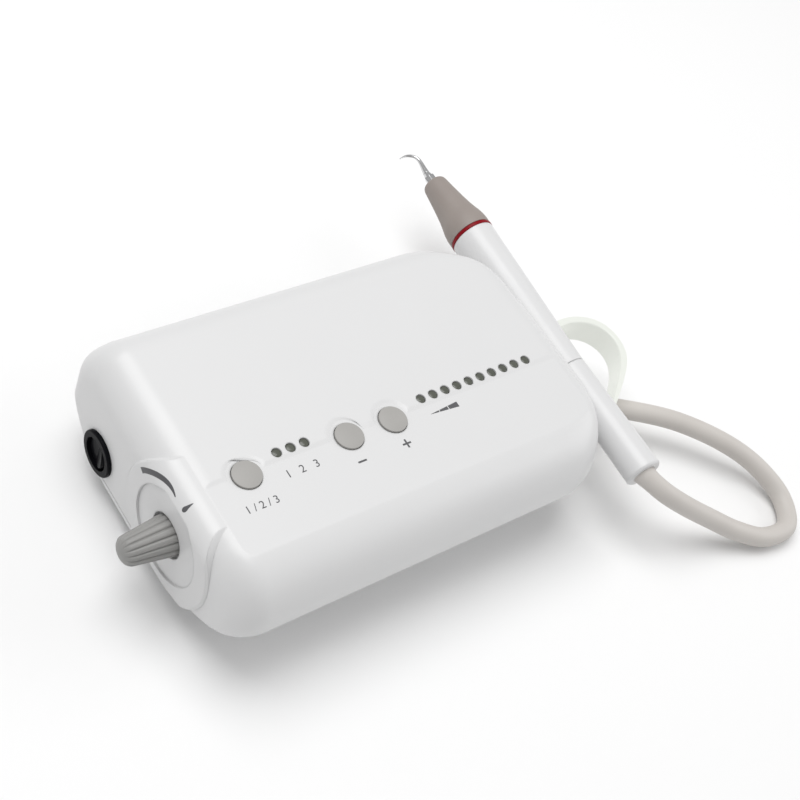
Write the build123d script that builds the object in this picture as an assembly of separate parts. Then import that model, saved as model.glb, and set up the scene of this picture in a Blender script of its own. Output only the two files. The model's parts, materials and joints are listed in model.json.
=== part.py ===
from build123d import *
import math
import os

# Desktop ultrasonic dental scaler. Millimetres.
# Frame: origin on the table under the middle of the body's footprint,
# +X to the right along the front, +Y to the back, +Z up.
# The water knob is on the left (-X), the handpiece lies along the right side (+X).

# ---------------------------------------------------------------- driving dimensions
BODY_HALF_W = 93.0
BODY_FRONT = -61.0
BODY_BACK = 60.5
BODY_TOP = 58.0
FOOT_H = 4.0
WALL = 2.5
SEAM_Z = 11.0
SEAM_GAP = 0.2
LEFT_TOP_R = 14.0
LEFT_LOW_R = 6.0
RIGHT_EDGE_R = 14.0
BACK_EDGE_R = 13.0
BACK_CORNER_R = 40.0
FRONT_CORNER_R = 30.0

STEP_Y = -12.0
STEP_DEPTH = 0.5
STEP_SLOPE = 1.8
SCALLOP_R = 8.4

BUTTON_R = 5.7
BUTTON_Y = -13.5
BUTTON_X = {"option_button": -66.2, "minus_button": -21.6, "plus_button": -1.25}
BUTTON_TRAVEL = 0.8
LAMP_R = 1.95
LAMP_Y = -9.5
LAMP_PITCH = 6.0
POWER_LAMP_X = 15.0
POWER_LAMPS = 10
MODE_LAMP_X = -51.25
MODE_LAMPS = 3

KNOB_Y = -13.5
KNOB_Z = 34.0
KNOB_BASE_R = 8.25
KNOB_TIP_R = 5.35
KNOB_LEN = 20.5
KNOB_FLUTES = 15
FLUTE_R = 0.8
SPINDLE_R = 2.5
DISH_R = 19.5
DISH_FLOOR_X = -93.2
POCKET_FLOOR_X = -91.0
BOSS_R = 28.0
BOSS_RISE = 1.0
BOSS_LIP = 0.8
BOSS_EDGE_R = 9.0
PLATE_FACE_X = 95.5
PLATE_ROOT_X = 90.4
PLATE_Y = (-35.5, 30.0)
PLATE_Z = (25.0, 49.5)

SWITCH_Y = 33.5
SWITCH_Z = 20.0
SWITCH_BEZEL_R = 9.5
SWITCH_BARREL_R = 8.0
ROCKER_R = 6.6
ROCKER_SWING = 20.0
PIN_DEPTH = 2.2
PIN_R = 0.8

REAR_PANEL_Y = 52.0
REAR_PANEL_Z = 31.0
REAR_PANEL_W = 116.0
REAR_PANEL_H = 22.0
INLET_X = -38.0
PEDAL_X = 0.0
POWER_X = 38.0
INLET_BARB_R = 3.0
PEDAL_BORE_R = 4.6
POWER_BORE_R = 3.2
BORE_DEPTH = 5.0
PIN_WELL_DEPTH = 8.0

HP_X = 107.0
HP_Z = 34.0
HP_YAW = 1.6
HP_PIVOT_Y = 10.0
TIP_BASE_Y = 101.5
CONE_REAR_Y = 69.0
SLEEVE_REAR_Y = -10.0
CONNECTOR_REAR_Y = -66.5
CONE_R = 10.2
MARKER_W = 1.9
CONE_MOUTH_R = 5.5
SLEEVE_REAR_R = 7.5
CONNECTOR_REAR_R = 8.1
HOLDER_CLEAR = 0.4
PLUG_R = 5.6
CORE_R = 7.0
SPIGOT_R = 7.6
CONTACT_CIRCLE_R = 2.6
CONTACT_R = 0.5

HOOK_OUTER = [(100.5, -11.5), (101.5, 1.0), (107.5, 9.8), (118.5, 13.7), (130.0, 12.0), (138.0, 6.2)]
HOOK_OUTER += [(141.3, -3.5), (138.7, -13.7), (130.3, -22.5), (121.0, -29.6), (114.5, -34.2)]
HOOK_INNER = [(104.0, -11.5), (104.8, -0.5), (109.6, 6.7), (118.7, 10.2), (128.4, 8.8), (135.2, 4.0)]
HOOK_INNER += [(138.0, -3.6), (135.7, -12.2), (128.4, -20.3), (120.0, -27.5), (114.3, -32.4)]
HOOK_BOTTOM = 22.0
HOOK_TOP = 35.0
HOOK_EDGE_R = 0.7
HOOK_PAD_Y = (-11.5, 8.0)
HOOK_PAD_Z = (25.5, 33.0)
HOLDER_SCREW_Y = -2.0
HOLDER_SCREW_Z = 29.0
HOLDER_SCREW_TIP_X = 99.3

CABLE_R = 4.4
CABLE_EXIT = (93.0, -19.0, 17.6)
GROMMET_R = 6.0

POSTS = [(-50.0, -19.0), (66.0, -19.0), (-60.0, 33.0), (62.0, 32.5)]
POST_R = 3.6
POST_JOIN_Z = 17.0
SCREW_R = 1.5
FEET = [(-72.0, -10.0), (72.0, -10.0), (-72.0, 22.0), (72.0, 22.0)]
FOOT_R = 6.5
FOOT_TOP = 8.0

BOARD_T = 1.6
CONTROL_BOARD_Z = 43.4
SWITCH_TOP_Z = 46.9
MAIN_BOARD_Z = 11.0
BOARD_STANDOFFS = [(-30.0, -17.0), (52.0, -17.0), (-30.0, 29.0), (52.0, 29.0)]
RIBBON_X = 8.5
FITTING_R = 5.0
SOCKET_R = 7.0
SOLENOID = (-58.0, 14.0)
SOLENOID_FLOOR = FOOT_H + WALL
PLUNGER_R = 3.4

# A sliding or turning fit, and the hair's breadth between a press-fitted pair.
SLIP = 0.05
TOUCH = 0.02
# Handle length of a cubic curve that follows a quarter circle.
KAPPA = 0.5523

nodes = {}


# ---------------------------------------------------------------- helpers
def node(name, shape):
    """Keep one named sub-part."""
    nodes[name] = shape


def cyl_z(x, y, z0, z1, r):
    return Pos(x, y, (z0 + z1) / 2) * Cylinder(r, z1 - z0)


def cyl_x(x0, x1, y, z, r):
    return Pos((x0 + x1) / 2, y, z) * Rot(0, 90, 0) * Cylinder(r, x1 - x0)


def cyl_y(x, y0, y1, z, r):
    return Pos(x, (y0 + y1) / 2, z) * Rot(90, 0, 0) * Cylinder(r, y1 - y0)


def block(x0, x1, y0, y1, z0, z1):
    return Pos((x0 + x1) / 2, (y0 + y1) / 2, (z0 + z1) / 2) * Box(x1 - x0, y1 - y0, z1 - z0)


def turned_y(points, x=HP_X, z=HP_Z):
    """Revolve (distance along +Y, radius) points about an axis parallel to Y."""
    outline = Polyline([(x + r, y, z) for y, r in points], close=True)
    return revolve(make_face(outline), Axis((x, 0, z), (0, 1, 0)))


def turned_x(points, y=KNOB_Y, z=KNOB_Z):
    """Revolve (distance along +X, radius) points about an axis parallel to X."""
    outline = Polyline([(x, y + r, z) for x, r in points], close=True)
    return revolve(make_face(outline), Axis((0, y, z), (1, 0, 0)))


def ring_x(x, y, z, major, minor):
    return Pos(x, y, z) * Rot(0, 90, 0) * Torus(major, minor)


def ring_y(x, y, z, major, minor):
    return Pos(x, y, z) * Rot(90, 0, 0) * Torus(major, minor)


def tube(points, outer, inner=0.0, start=None, end=None):
    """A round tube swept along a smooth path through the points."""
    path = Spline(points, tangents=[start, end])
    mouth = Plane(path @ 0, z_dir=path % 0)
    body = sweep(mouth * Circle(outer), path)
    if inner:
        body -= sweep(mouth * Circle(inner), path)
    return body


# ---------------------------------------------------------------- body form
def side_profile(x, front, back, low, high):
    """The body's side outline in the plane at x, scaled into the given limits."""
    depth = (back - front) / (BODY_BACK - BODY_FRONT)
    height = (high - low) / (BODY_TOP - FOOT_H)

    def at(y, z):
        return (x, front + (y - BODY_FRONT) * depth, low + (z - FOOT_H) * height)

    nose_y, nose_z = BODY_FRONT + 23.0, 35.0
    tail_y, tail_top, tail_z = BODY_BACK - BACK_EDGE_R, BODY_TOP - BACK_EDGE_R, 31.0
    under_front, under_back = 0.0, 24.0
    edges = [
        Line(at(nose_y, BODY_TOP), at(tail_y, BODY_TOP)),
        Bezier(
            at(tail_y, BODY_TOP),
            at(tail_y + KAPPA * BACK_EDGE_R, BODY_TOP),
            at(BODY_BACK, tail_top + KAPPA * BACK_EDGE_R),
            at(BODY_BACK, tail_top),
        ),
        Line(at(BODY_BACK, tail_top), at(BODY_BACK, tail_z)),
        Bezier(
            at(BODY_BACK, tail_z),
            at(BODY_BACK, tail_z - 5.0),
            at(under_back + 19.0, FOOT_H),
            at(under_back, FOOT_H),
        ),
        Line(at(under_back, FOOT_H), at(under_front, FOOT_H)),
        Bezier(
            at(under_front, FOOT_H),
            at(under_front - 21.0, FOOT_H),
            at(BODY_FRONT, nose_z - 14.0),
            at(BODY_FRONT, nose_z),
        ),
        Bezier(
            at(BODY_FRONT, nose_z),
            at(BODY_FRONT, nose_z + KAPPA * 23.0),
            at(nose_y - KAPPA * 23.0, BODY_TOP),
            at(nose_y, BODY_TOP),
        ),
    ]
    return make_face(Wire(edges))


def rounded_in(distance, radius, inset):
    """How far an edge of this radius has come in, at a distance past the edge's start."""
    if distance <= 0.0:
        return 0.0
    reach = radius - inset
    return reach - math.sqrt(max(reach**2 - distance**2, 0.0))


def body_section(x, inset):
    """The side outline at station x, with every plan corner and end edge rounded."""
    upper = rounded_in(-x - (BODY_HALF_W - LEFT_TOP_R), LEFT_TOP_R, inset)
    lower = rounded_in(-x - (BODY_HALF_W - LEFT_LOW_R), LEFT_LOW_R, inset)
    edge = rounded_in(x - (BODY_HALF_W - RIGHT_EDGE_R), RIGHT_EDGE_R, inset)
    back = lower + rounded_in(x - (BODY_HALF_W - BACK_CORNER_R), BACK_CORNER_R, inset)
    front = upper + rounded_in(x - (BODY_HALF_W - FRONT_CORNER_R), FRONT_CORNER_R, inset)
    return side_profile(
        x,
        BODY_FRONT + inset + front,
        BODY_BACK - inset - back,
        FOOT_H + inset + lower + edge,
        BODY_TOP - inset - upper - edge,
    )


def body_solid(inset):
    """The body's outer form, or the same form shrunk by an inset."""
    left_start = -(BODY_HALF_W - LEFT_TOP_R)
    right_start = BODY_HALF_W - BACK_CORNER_R
    edge_start = BODY_HALF_W - RIGHT_EDGE_R
    left_steps, right_steps = 6, 5
    left = []
    for i in range(left_steps + 1):
        turn = math.radians(90.0 * (left_steps - i) / left_steps)
        left.append(left_start - (LEFT_TOP_R - inset) * math.sin(turn))
    corner = [right_start + (edge_start - right_start) * i / 3 for i in range(4)]
    right = []
    for i in range(right_steps + 1):
        turn = math.radians(90.0 * i / right_steps)
        right.append(edge_start + (RIGHT_EDGE_R - inset) * math.sin(turn))
    left_end = loft([body_section(x, inset) for x in left])
    middle = loft([body_section(left_start, inset), body_section(right_start, inset)], ruled=True)
    corner_part = loft([body_section(x, inset) for x in corner])
    right_end = loft([body_section(x, inset) for x in right])
    return left_end + middle + corner_part + right_end


# ---------------------------------------------------------------- covers
def step_outline(z, grow):
    """Plan of the lowered front panel at height z, widened round its border by grow."""
    front, back = BODY_FRONT - 5.0, STEP_Y + grow
    width = 2 * BODY_HALF_W + 10.0
    plan = Pos(0, (front + back) / 2) * Rectangle(width, back - front)
    for x in BUTTON_X.values():
        plan += Pos(x, BUTTON_Y) * Circle(SCALLOP_R + grow)
    return Pos(0, 0, z) * plan.face()


def step_region():
    """What is cut away over the front panel: a shallow flat with a gently sloping border."""
    floor, half = BODY_TOP - STEP_DEPTH, STEP_SLOPE / 2
    above = step_outline(BODY_TOP + STEP_DEPTH, half + STEP_SLOPE)
    return loft([step_outline(floor, -half), above], ruled=True)


def boss_limit():
    """The room for the knob's boss: proud of the left end, its top rounded over under the panel."""
    stations = [BOSS_EDGE_R * (1 - math.cos(math.radians(15.0 * i))) for i in range(7)]
    sections = []
    for deep in stations + [18.0]:
        over = STEP_DEPTH + 0.05 + rounded_in(BOSS_EDGE_R - deep, BOSS_EDGE_R, 0.0)
        under = rounded_in(LEFT_LOW_R + BOSS_RISE - deep, LEFT_LOW_R, -BOSS_RISE) - BOSS_RISE
        front, back = BODY_FRONT - BOSS_RISE, BODY_BACK + BOSS_RISE
        x = deep - BODY_HALF_W - BOSS_RISE
        sections.append(side_profile(x, front, back, FOOT_H + under, BODY_TOP - over))
    return loft(sections[:-1]) + loft(sections[-2:], ruled=True)


def knob_boss():
    """Round boss behind the knob, one rise proud of the soft left end."""
    face_x, end_x = -BODY_HALF_W - BOSS_RISE, -BODY_HALF_W + 11.5
    start_x, start_r = face_x - 0.5, BOSS_R - BOSS_LIP - 0.5
    outline = [(start_x, 0), (start_x, start_r), (face_x + BOSS_LIP, BOSS_R), (end_x, BOSS_R), (end_x, 0)]
    drum = turned_x(outline)
    core = cyl_x(face_x + 8.0, end_x + 1.0, KNOB_Y, KNOB_Z, BOSS_R - 6.0)
    return (drum & boss_limit()) - core


def holder_plate():
    """Raised plate on the right end that carries the handpiece holder."""
    plate = block(PLATE_ROOT_X, PLATE_FACE_X, *PLATE_Y, *PLATE_Z)
    plate = fillet(plate.edges().filter_by(Axis.X), 11.0)
    return fillet(plate.faces().sort_by(Axis.X)[-1].edges(), 2.5)


def make_top_cover(outer, inner):
    keep = block(-150, 150, -100, 100, SEAM_Z + SEAM_GAP / 2, 100)
    switch_pad = cyl_x(-BODY_HALF_W + 1.0, -BODY_HALF_W + 5.0, SWITCH_Y, SWITCH_Z, 12.0)
    half_w, half_h = REAR_PANEL_W / 2, REAR_PANEL_H / 2
    rear_wall = block(
        -half_w - WALL,
        half_w + WALL,
        REAR_PANEL_Y - WALL,
        BODY_BACK,
        REAR_PANEL_Z - half_h - WALL,
        REAR_PANEL_Z + half_h + WALL,
    )
    cover = outer - inner
    for pad in (switch_pad, rear_wall):
        cover += pad & outer
    for x, y in POSTS:
        cover += cyl_z(x, y, POST_JOIN_Z, BODY_TOP - 1.0, POST_R)
    cover = cover & keep
    cover -= step_region()
    cover += knob_boss() & keep
    cover += holder_plate()
    cover -= block(
        -half_w,
        half_w,
        REAR_PANEL_Y,
        BODY_BACK + 5.0,
        REAR_PANEL_Z - half_h,
        REAR_PANEL_Z + half_h,
    )
    cover -= cyl_x(-BODY_HALF_W - 5, DISH_FLOOR_X, KNOB_Y, KNOB_Z, DISH_R)
    cover -= cyl_x(-BODY_HALF_W - 5, POCKET_FLOOR_X, KNOB_Y, KNOB_Z, KNOB_BASE_R + 0.8)
    cover -= cyl_x(-BODY_HALF_W - 5, -BODY_HALF_W + 20, KNOB_Y, KNOB_Z, SPINDLE_R + 1.0)
    cover -= cyl_x(-BODY_HALF_W - 5, -BODY_HALF_W + 20, SWITCH_Y, SWITCH_Z, SWITCH_BARREL_R + TOUCH)
    for x in BUTTON_X.values():
        cover -= cyl_z(x, BUTTON_Y, BODY_TOP - 20, BODY_TOP + 5, BUTTON_R + 0.2)
    for x in lamp_stations():
        cover -= cyl_z(x, LAMP_Y, BODY_TOP - 20, BODY_TOP + 5, LAMP_R + SLIP)
    for x, y in POSTS:
        cover -= cyl_z(x, y, POST_JOIN_Z - 1, POST_JOIN_Z + 19.0, SCREW_R + TOUCH)
    exit_x, exit_y, exit_z = CABLE_EXIT
    cover -= cyl_x(exit_x - 20, exit_x + 10, exit_y, exit_z, GROMMET_R + TOUCH)
    cover -= cyl_x(BODY_HALF_W - 10, BODY_HALF_W + 5, HOLDER_SCREW_Y, HOLDER_SCREW_Z, SCREW_R + 0.2)
    for x, radius in rear_fittings():
        cover -= cyl_y(x, REAR_PANEL_Y - 10, REAR_PANEL_Y + 2, REAR_PANEL_Z, radius + TOUCH)
    node("top_cover", cover)


def make_base_cover(outer, inner):
    keep = block(-150, 150, -100, 100, 0, SEAM_Z - SEAM_GAP / 2)
    cover = (outer - inner) & keep
    for x, y in POSTS:
        cover += cyl_z(x, y, 5.0, POST_JOIN_Z, POST_R + 1.0) & outer
    for x, y in FEET:
        cover += cyl_z(x, y, 5.0, 11.0, FOOT_R + 1.5) & outer
    for x, y in BOARD_STANDOFFS:
        cover += cyl_z(x, y, 5.0, MAIN_BOARD_Z, 3.0) & outer
    for x, y in POSTS:
        cover -= cyl_z(x, y, 0.0, SEAM_Z, SCREW_R * 2 + 0.3)
        cover -= cyl_z(x, y, 0.0, POST_JOIN_Z + 1, SCREW_R + 0.2)
    for x, y in FEET:
        cover -= cyl_z(x, y, 0.0, FOOT_TOP, FOOT_R)
    node("base_cover", cover)


def make_feet_and_screws():
    feet = []
    for x, y in FEET:
        foot = cyl_z(x, y, 0.0, FOOT_TOP, FOOT_R)
        feet.append(fillet(foot.edges().group_by(Axis.Z)[0], 0.8))
    node("rubber_feet", Compound(children=feet))
    screws = []
    for x, y in POSTS:
        head_z = SEAM_Z - 2.2
        head = cyl_z(x, y, head_z, SEAM_Z, SCREW_R * 2)
        recess = Pos(x, y, head_z) * (Box(3.2, 0.8, 2.0) + Box(0.8, 3.2, 2.0))
        screws.append(head + cyl_z(x, y, SEAM_Z, POST_JOIN_Z + 17.0, SCREW_R) - recess)
    node("case_screws", Compound(children=screws))


# ---------------------------------------------------------------- control panel
def lamp_stations():
    power = [POWER_LAMP_X + LAMP_PITCH * i for i in range(POWER_LAMPS)]
    mode = [MODE_LAMP_X + LAMP_PITCH * i for i in range(MODE_LAMPS)]
    return power + mode


def make_button(name, x):
    """A domed cap with a retaining flange and a stem down to its switch."""
    top = BODY_TOP - STEP_DEPTH
    dome = 0.6
    edge_z = top + 0.8
    sphere_r = (BUTTON_R**2 + dome**2) / (2 * dome)
    cap = cyl_z(x, BUTTON_Y, top - 3.4, edge_z + dome, BUTTON_R)
    cap &= Pos(x, BUTTON_Y, edge_z + dome - sphere_r) * Sphere(sphere_r)
    under = top - 2.2
    flange = cyl_z(x, BUTTON_Y, under - 1.0, under - 0.1, BUTTON_R + 1.0)
    stem = cyl_z(x, BUTTON_Y, SWITCH_TOP_Z + BUTTON_TRAVEL + 0.1, under - 0.5, 2.0)
    node(name, cap + flange + stem)


def make_control_board():
    board_top = CONTROL_BOARD_Z + BOARD_T
    board = block(-79.0, 76.0, -22.0, 2.0, CONTROL_BOARD_Z, board_top)
    spacers = []
    for x in (-74.0, 8.0, 72.5):
        board -= cyl_z(x, -1.5, CONTROL_BOARD_Z - 1, board_top + 1, 1.3)
        spacers.append(cyl_z(x, -1.5, board_top, BODY_TOP - WALL, 2.2))
    for x, y in POSTS:
        board -= cyl_z(x, y, CONTROL_BOARD_Z - 1, board_top + 1, POST_R + 0.5)
    node("control_board", board)
    node("board_spacers", Compound(children=spacers))
    switches = []
    for x in BUTTON_X.values():
        base = block(x - 3, x + 3, BUTTON_Y - 3, BUTTON_Y + 3, board_top, board_top + 1.3)
        switches.append(base + cyl_z(x, BUTTON_Y, board_top + 1.3, SWITCH_TOP_Z, 1.7))
    node("button_switches", Compound(children=switches))
    diodes, pipes = [], []
    for x in lamp_stations():
        body = cyl_z(x, LAMP_Y, board_top, board_top + 3.2, 1.5)
        diodes.append(body + Pos(x, LAMP_Y, board_top + 3.2) * Sphere(1.5))
        pipe = cyl_z(x, LAMP_Y, board_top + 5.4, BODY_TOP - 0.1, LAMP_R)
        pipes.append(pipe + cyl_z(x, LAMP_Y, board_top + 5.4, BODY_TOP - WALL - 0.1, LAMP_R + 0.6))
    node("lamp_diodes", Compound(children=diodes))
    node("light_pipes", Compound(children=pipes))


# ---------------------------------------------------------------- water knob and valve
def make_water_knob():
    """A tapered, fluted knob that is pressed on the valve spindle."""
    base_x = POCKET_FLOOR_X - 0.4
    tip_x = base_x - KNOB_LEN
    nose = 3.0
    taper = (KNOB_BASE_R - KNOB_TIP_R) / KNOB_LEN
    outline = Polyline((base_x, KNOB_Y, KNOB_Z), (base_x, KNOB_Y + KNOB_BASE_R, KNOB_Z))
    shoulder = (tip_x + nose, KNOB_Y + KNOB_TIP_R + nose * taper, KNOB_Z)
    outline += Line((base_x, KNOB_Y + KNOB_BASE_R, KNOB_Z), shoulder)
    outline += Bezier(
        shoulder,
        (tip_x + 0.6, KNOB_Y + KNOB_TIP_R, KNOB_Z),
        (tip_x, KNOB_Y + KNOB_TIP_R - 2.0, KNOB_Z),
        (tip_x, KNOB_Y, KNOB_Z),
    )
    outline += Line((tip_x, KNOB_Y, KNOB_Z), (base_x, KNOB_Y, KNOB_Z))
    knob = revolve(make_face(outline), Axis((0, KNOB_Y, KNOB_Z), (1, 0, 0)))
    lean = math.degrees(math.atan(taper))
    middle_r = (KNOB_BASE_R + KNOB_TIP_R) / 2
    for i in range(KNOB_FLUTES):
        bar = Pos(base_x - KNOB_LEN / 2, 0, middle_r + FLUTE_R / 3) * Rot(0, 90 - lean, 0)
        bar *= Cylinder(FLUTE_R, KNOB_LEN + 4.0)
        knob -= Pos(0, KNOB_Y, KNOB_Z) * Rot(360.0 * i / KNOB_FLUTES, 0, 0) * bar
    knob -= cyl_x(tip_x + 4.0, base_x + 1, KNOB_Y, KNOB_Z, SPINDLE_R + TOUCH)
    node("water_knob", knob)
    return tip_x


def make_water_valve(knob_tip_x):
    """Needle valve: the spindle turns in a brass body that is held behind the dish."""
    face = -BODY_HALF_W + 7.0
    needle = face + 24.0
    spindle = turned_x(
        [
            (knob_tip_x + 4.2, 0),
            (knob_tip_x + 4.2, SPINDLE_R),
            (face + 14.0, SPINDLE_R),
            (face + 14.0, SPINDLE_R - 0.6),
            (needle - 4.0, SPINDLE_R - 0.6),
            (needle, 0.2),
            (needle, 0),
        ]
    )
    node("valve_spindle", spindle)
    body = block(face, face + 30.0, KNOB_Y - 8, KNOB_Y + 8, KNOB_Z - 8, KNOB_Z + 8)
    body = fillet(body.edges().filter_by(Axis.X), 1.5)
    body -= cyl_x(face - 1, face + 15.0, KNOB_Y, KNOB_Z, SPINDLE_R + SLIP)
    body -= cyl_x(face + 15.0, face + 21.0, KNOB_Y, KNOB_Z, SPINDLE_R + 1.0)
    body -= cyl_x(face + 21.0, face + 27.0, KNOB_Y, KNOB_Z, 2.4)
    body -= cyl_x(face + 4.0, face + 6.4, KNOB_Y, KNOB_Z, SPINDLE_R + 1.4)
    port_x = face + 18.0
    body += cyl_y(port_x, KNOB_Y + 8, KNOB_Y + 13, KNOB_Z, 1.8)
    body -= cyl_y(port_x, KNOB_Y, KNOB_Y + 14, KNOB_Z, 1.0)
    outlet_x = face + 24.0
    body += cyl_y(outlet_x, KNOB_Y - 13, KNOB_Y - 8, KNOB_Z, 1.8)
    body -= cyl_y(outlet_x, KNOB_Y - 14, KNOB_Y, KNOB_Z, 1.0)
    node("water_valve_body", body)
    seal_minor = 0.65
    seal = ring_x(face + 5.2, KNOB_Y, KNOB_Z, SPINDLE_R + TOUCH + seal_minor, seal_minor)
    node("spindle_seal", seal)


def make_solenoid_valve():
    """Solenoid that opens the water when the pedal is pressed."""
    x, y = SOLENOID
    base, top = 16.0, 26.0
    body = block(x - 9, x + 9, y - 9, y + 9, base, top)
    body = fillet(body.edges().filter_by(Axis.Z), 1.5)
    body -= cyl_z(x, y, base + 3.0, top + 1.0, PLUNGER_R + SLIP)
    body += cyl_x(x + 9, x + 14, y, base + 5.0, 1.8)
    body += cyl_x(x - 14, x - 9, y, base + 5.0, 1.8)
    body -= cyl_x(x - 15, x + 15, y, base + 5.0, 1.0)
    body += block(x - 4, x + 4, y - 7, y + 7, SOLENOID_FLOOR, base)
    node("solenoid_valve_body", body)
    coil = cyl_z(x, y, top, top + 18.0, 8.5) - cyl_z(x, y, top - 1, top + 16.0, PLUNGER_R + SLIP)
    node("solenoid_coil", coil)
    plunger = cyl_z(x, y, base + 3.1, top + 10.0, PLUNGER_R)
    plunger -= cyl_z(x, y, top + 6.0, top + 11.0, 2.4)
    node("solenoid_plunger", plunger)
    spring_low, spring_high = top + 6.1, top + 15.9
    coil_path = Helix(pitch=2.2, height=spring_high - spring_low - 0.9, radius=1.7)
    coil_path = Pos(x, y, spring_low + 0.45) * coil_path
    wire = sweep(Plane(coil_path @ 0, z_dir=coil_path % 0) * Circle(0.35), coil_path)
    node("plunger_spring", wire)


def make_water_inlet():
    """Push-on hose barb at the back with an in-line filter behind it."""
    y = REAR_PANEL_Y
    fitting = cyl_y(INLET_X, y - 6.0, y + 2.0, REAR_PANEL_Z, FITTING_R)
    fitting += cyl_y(INLET_X, y + 2.0, y + 12.0, REAR_PANEL_Z, INLET_BARB_R)
    fitting += cyl_y(INLET_X, y, y + 2.0, REAR_PANEL_Z, FITTING_R + 2.0)
    fitting += cyl_y(INLET_X, y - 11.0, y - 6.0, REAR_PANEL_Z, 2.6)
    fitting -= cyl_y(INLET_X, y - 12.0, y + 13.0, REAR_PANEL_Z, 1.6)
    node("water_inlet_fitting", fitting)
    rear, front = y - 7.0, y - 30.0
    case = cyl_y(INLET_X, front, rear, REAR_PANEL_Z, 6.0)
    case -= cyl_y(INLET_X, front + 2.0, y - 11.0, REAR_PANEL_Z, 4.6)
    case -= cyl_y(INLET_X, y - 12.0, rear + 1.0, REAR_PANEL_Z, 2.6)
    case += cyl_y(INLET_X, front - 4.0, front, REAR_PANEL_Z, 1.8)
    case -= cyl_y(INLET_X, front - 5.0, front + 3.0, REAR_PANEL_Z, 1.0)
    node("inlet_filter_case", case)
    node("filter_element", cyl_y(INLET_X, front + 3.0, y - 12.0, REAR_PANEL_Z, 3.6))


def make_water_tubes():
    sx, sy = SOLENOID
    solenoid_z = 21.0
    filter_end = (INLET_X, REAR_PANEL_Y - 34.1, REAR_PANEL_Z)
    inlet = tube(
        [filter_end, (INLET_X + 3.0, sy - 2.5, 26.5), (sx + 14.1, sy, solenoid_z)],
        2.0,
        1.2,
        (0, -1, 0),
        (-1, 0, 0),
    )
    node("inlet_tube", inlet)
    face = -BODY_HALF_W + 7.0
    valve_inlet = (face + 18.0, KNOB_Y + 13.1, KNOB_Z)
    valve = tube(
        [(sx - 14.1, sy, solenoid_z), (sx - 19.0, sy - 5.0, 27.5), valve_inlet],
        2.0,
        1.2,
        (-1, 0, 0),
        (0, -1, 0),
    )
    node("valve_tube", valve)
    exit_x, exit_y, exit_z = CABLE_EXIT
    valve_x, valve_y, run_y = face + 24.0, KNOB_Y - 13.1, -37.0
    corners = [
        (valve_x, valve_y, KNOB_Z),
        (valve_x, run_y, KNOB_Z),
        (valve_x + 12.0, run_y, KNOB_Z - 6.0),
        (exit_x - 31.0, run_y, KNOB_Z - 6.0),
        (exit_x - 17.0, exit_y - 9.0, exit_z + 1.5),
        (exit_x - 10.0, exit_y - 1.0, exit_z),
    ]
    path = FilletPolyline(*corners, radius=5.0)
    mouth = Plane(path @ 0, z_dir=path % 0)
    outlet = sweep(mouth * Circle(2.0), path) - sweep(mouth * Circle(1.2), path)
    node("outlet_tube", outlet)


# ---------------------------------------------------------------- power switch
def make_power_switch():
    """Round rocker switch: housing, terminals, rocker and its pin."""
    face = -BODY_HALF_W
    depth = 16.0
    barrel = cyl_x(face, face + depth, SWITCH_Y, SWITCH_Z, SWITCH_BARREL_R)
    bezel = cyl_x(face - 1.6, face, SWITCH_Y, SWITCH_Z, SWITCH_BEZEL_R)
    bezel = fillet(bezel.edges().sort_by(Axis.X)[0], 0.7)
    housing = barrel + bezel
    housing -= cyl_x(face - 3, face + depth - 3, SWITCH_Y, SWITCH_Z, ROCKER_R + 0.25)
    housing -= cyl_z(face + PIN_DEPTH, SWITCH_Y, SWITCH_Z - 7.7, SWITCH_Z + 7.7, PIN_R)
    node("switch_housing", housing)
    terminals = []
    for dy in (-3.5, 3.5):
        for dz in (-2.5, 2.5):
            blade = block(0, 8.0, -0.4, 0.4, -1.4, 1.4)
            terminals.append(Pos(face + depth, SWITCH_Y + dy, SWITCH_Z + dz) * blade)
    node("switch_terminals", Compound(children=terminals))
    node("rocker_pin", cyl_z(face + PIN_DEPTH, SWITCH_Y, SWITCH_Z - 7.6, SWITCH_Z + 7.6, PIN_R))


def make_rocker():
    """Paddle with two pads that meet in a shallow V, leaning to its back-raised position."""
    face = -BODY_HALF_W
    pivot_x = face + PIN_DEPTH
    lean = math.tan(math.radians(ROCKER_SWING / 2))
    reach = ROCKER_R + 1.0
    crown = -PIN_DEPTH - 0.2
    pads = Polyline(
        (crown, 0),
        (crown - reach * lean, reach),
        (2.5, reach),
        (4.0, 0),
        (2.5, -reach),
        (crown - reach * lean, -reach),
        close=True,
    )
    paddle = extrude(make_face(pads), ROCKER_R + 1, both=True)
    paddle &= Rot(0, 90, 0) * Cylinder(ROCKER_R, 30)
    paddle &= Sphere(ROCKER_R + 0.1)
    paddle -= Cylinder(PIN_R + SLIP, 30)
    turn = Rot(0, 0, -ROCKER_SWING / 2)
    node("power_rocker", Pos(pivot_x, SWITCH_Y, SWITCH_Z) * turn * paddle)


# ---------------------------------------------------------------- rear fittings
def rear_fittings():
    return [(INLET_X, FITTING_R), (PEDAL_X, SOCKET_R), (POWER_X, SOCKET_R)]


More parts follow.
